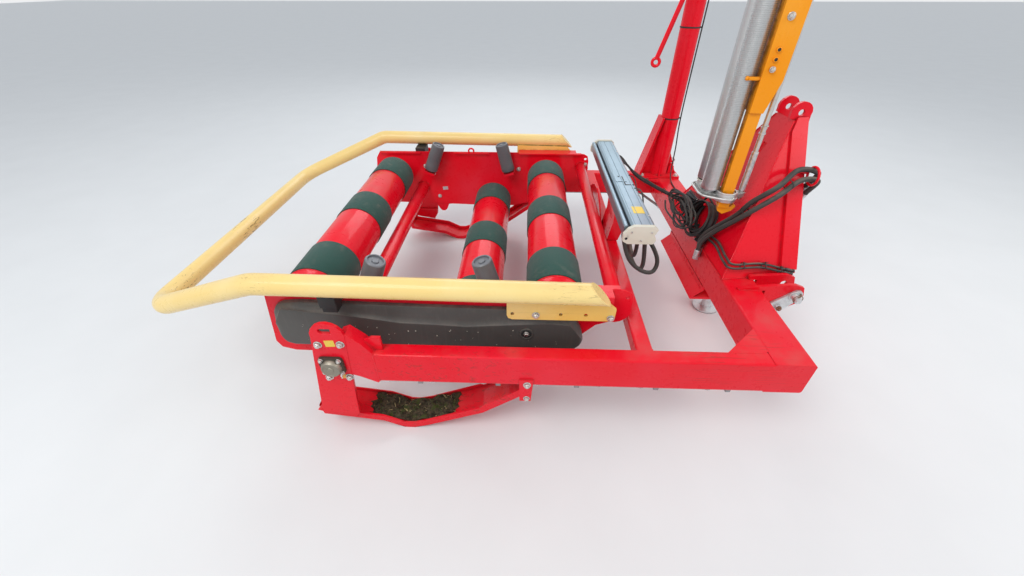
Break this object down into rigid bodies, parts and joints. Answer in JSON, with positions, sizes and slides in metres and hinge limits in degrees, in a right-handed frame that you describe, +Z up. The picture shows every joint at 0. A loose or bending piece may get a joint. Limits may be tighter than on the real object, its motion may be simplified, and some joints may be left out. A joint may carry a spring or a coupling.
{
  "type": "bale wrapper",
  "caption": "Mounted round-bale wrapper: a tilting roller table with a hoop, and a film arm that turns overhead round the bale.",
  "frame": {"origin": "on the ground, under the middle of the machine seen from above", "axes": "+Z up, +X to the tractor, +Y to the side of the mast"},
  "size_m": [2.684, 1.81, 2.46],
  "materials": {
    "red_paint": "gloss",
    "cream_paint": "gloss",
    "yellow_paint": "gloss",
    "orange_paint": "gloss",
    "galvanised": "satin",
    "cast_grey": "satin",
    "cast_alloy": "satin",
    "alloy_profile": "satin",
    "cream_casting": "satin",
    "green_rubber": "matt",
    "black_rubber": "matt",
    "dark_plastic": "satin",
    "black_plastic": "gloss",
    "rod_chrome": "polished",
    "barrel_paint": "satin",
    "grey_pipe": "satin"
  },
  "bodies": {
    "frame": {"frame_beams": "red_paint", "end_plates": "red_paint", "pivot_bearings": "cast_grey", "skids": "red_paint", "headstock": "red_paint", "link_ears": "red_paint", "pin_plates": "galvanised", "mast": "red_paint", "overhead_beam": "red_paint", "slew_housing": "cast_grey", "leg_sleeve": "red_paint", "cutter_block": "red_paint", "cutter_body": "alloy_profile", "cutter_caps": "cream_casting", "control_box": "black_plastic", "cable_coils": "black_rubber", "hoses": "black_rubber", "beam_pipe": "grey_pipe"},
    "leg": {"parking_leg": "galvanised"},
    "table": {"side_plates": "red_paint", "pivot_tube": "red_paint", "cross_tube": "red_paint", "side_cover": "dark_plastic", "loop": "cream_paint", "loop_flanges": "yellow_paint", "buffers": "black_rubber", "roller_motor": "cast_grey"},
    "bale_roller_1": {"roller_1": "red_paint", "bands_1": "green_rubber"},
    "bale_roller_2": {"roller_2": "red_paint", "bands_2": "green_rubber"},
    "bale_roller_3": {"roller_3": "red_paint", "bands_3": "green_rubber"},
    "near_left_guide": {"guide_near_left": "dark_plastic"},
    "near_right_guide": {"guide_near_right": "dark_plastic"},
    "far_left_guide": {"guide_far_left": "dark_plastic"},
    "far_right_guide": {"guide_far_right": "dark_plastic"},
    "near_cylinder": {"near_barrel": "barrel_paint"},
    "near_piston": {"near_rod": "rod_chrome"},
    "far_cylinder": {"far_barrel": "barrel_paint"},
    "far_piston": {"far_rod": "rod_chrome"},
    "clamp_jaw": {"cutter_jaw": "alloy_profile"},
    "film_arm": {"rotor_hub": "cast_grey", "rotor_arm": "orange_paint", "lower_post": "orange_paint", "dispenser_base": "cast_alloy", "dispenser_head": "cast_alloy", "trip_bar": "red_paint"},
    "ribbed_film_roller": {"ribbed_roller": "cast_alloy"},
    "smooth_film_roller": {"smooth_roller": "cast_alloy"},
    "spindle": {"film_spindle": "galvanised"}
  },
  "joints": [
    {"name": "table_tilt", "type": "hinge", "parent": "frame", "child": "table", "pos_m": [-0.549, 0, 0.408], "axis": [0, -1, 0], "range_deg": [0, 34]},
    {"name": "bale_roller_1_spin", "type": "hinge", "parent": "table", "child": "bale_roller_1", "pos_m": [-0.695, 0, 0.525], "axis": [0, 1, 0], "continuous": true},
    {"name": "bale_roller_2_spin", "type": "hinge", "parent": "table", "child": "bale_roller_2", "pos_m": [-0.08, 0, 0.368], "axis": [0, 1, 0], "continuous": true},
    {"name": "bale_roller_3_spin", "type": "hinge", "parent": "table", "child": "bale_roller_3", "pos_m": [0.25, 0, 0.518], "axis": [0, 1, 0], "continuous": true},
    {"name": "near_left_guide_spin", "type": "hinge", "parent": "table", "child": "near_left_guide", "pos_m": [-0.474, -0.64, 0.548], "axis": [0.3919, 0, 0.92], "continuous": true},
    {"name": "far_left_guide_spin", "type": "hinge", "parent": "table", "child": "far_left_guide", "pos_m": [-0.474, 0.64, 0.548], "axis": [0.3919, 0, 0.92], "continuous": true},
    {"name": "near_right_guide_spin", "type": "hinge", "parent": "table", "child": "near_right_guide", "pos_m": [0.016, -0.64, 0.548], "axis": [-0.251, 0, 0.968], "continuous": true},
    {"name": "far_right_guide_spin", "type": "hinge", "parent": "table", "child": "far_right_guide", "pos_m": [0.016, 0.64, 0.548], "axis": [-0.251, 0, 0.968], "continuous": true},
    {"name": "leg_slide", "type": "slide", "parent": "frame", "child": "leg", "axis": [0, 0, 1], "range_m": [0, 0.27]},
    {"name": "near_cylinder_turn", "type": "hinge", "parent": "frame", "child": "near_cylinder", "pos_m": [0.386, -0.783, 0.36], "axis": [0, -1, 0], "range_deg": [-8, 2]},
    {"name": "near_piston_slide", "type": "slide", "parent": "near_cylinder", "child": "near_piston", "axis": [-0.9911, 0, -0.133], "range_m": [-0.09, 0.01]},
    {"name": "far_cylinder_turn", "type": "hinge", "parent": "frame", "child": "far_cylinder", "pos_m": [0.386, 0.783, 0.36], "axis": [0, -1, 0], "range_deg": [-8, 2]},
    {"name": "far_piston_slide", "type": "slide", "parent": "far_cylinder", "child": "far_piston", "axis": [-0.9911, 0, -0.133], "range_m": [-0.09, 0.01]},
    {"name": "jaw_turn", "type": "hinge", "parent": "frame", "child": "clamp_jaw", "pos_m": [0.512, 0, 0.724], "axis": [0, -1, 0], "range_deg": [0, 45]},
    {"name": "film_arm_turn", "type": "hinge", "parent": "frame", "child": "film_arm", "pos_m": [-0.224, 0, 2.15], "axis": [0, 0, 1], "continuous": true},
    {"name": "ribbed_film_roller_spin", "type": "hinge", "parent": "film_arm", "child": "ribbed_film_roller", "pos_m": [0.92926, -0.14396, 1.2], "axis": [0, 0, 1], "continuous": true},
    {"name": "smooth_film_roller_spin", "type": "hinge", "parent": "film_arm", "child": "smooth_film_roller", "pos_m": [0.92992, -0.06222, 1.2], "axis": [0, 0, 1], "continuous": true},
    {"name": "spindle_spin", "type": "hinge", "parent": "film_arm", "child": "spindle", "pos_m": [1.05863, -0.16462, 1.2], "axis": [0, 0, 1], "continuous": true}
  ],
  "couplings": [
    {"joint": "near_cylinder_turn", "follows": "table_tilt", "ratio": -0.1705},
    {"joint": "near_piston_slide", "follows": "table_tilt", "m_per_rad": -0.136},
    {"joint": "far_cylinder_turn", "follows": "table_tilt", "ratio": -0.1705},
    {"joint": "far_piston_slide", "follows": "table_tilt", "m_per_rad": -0.136}
  ]
}
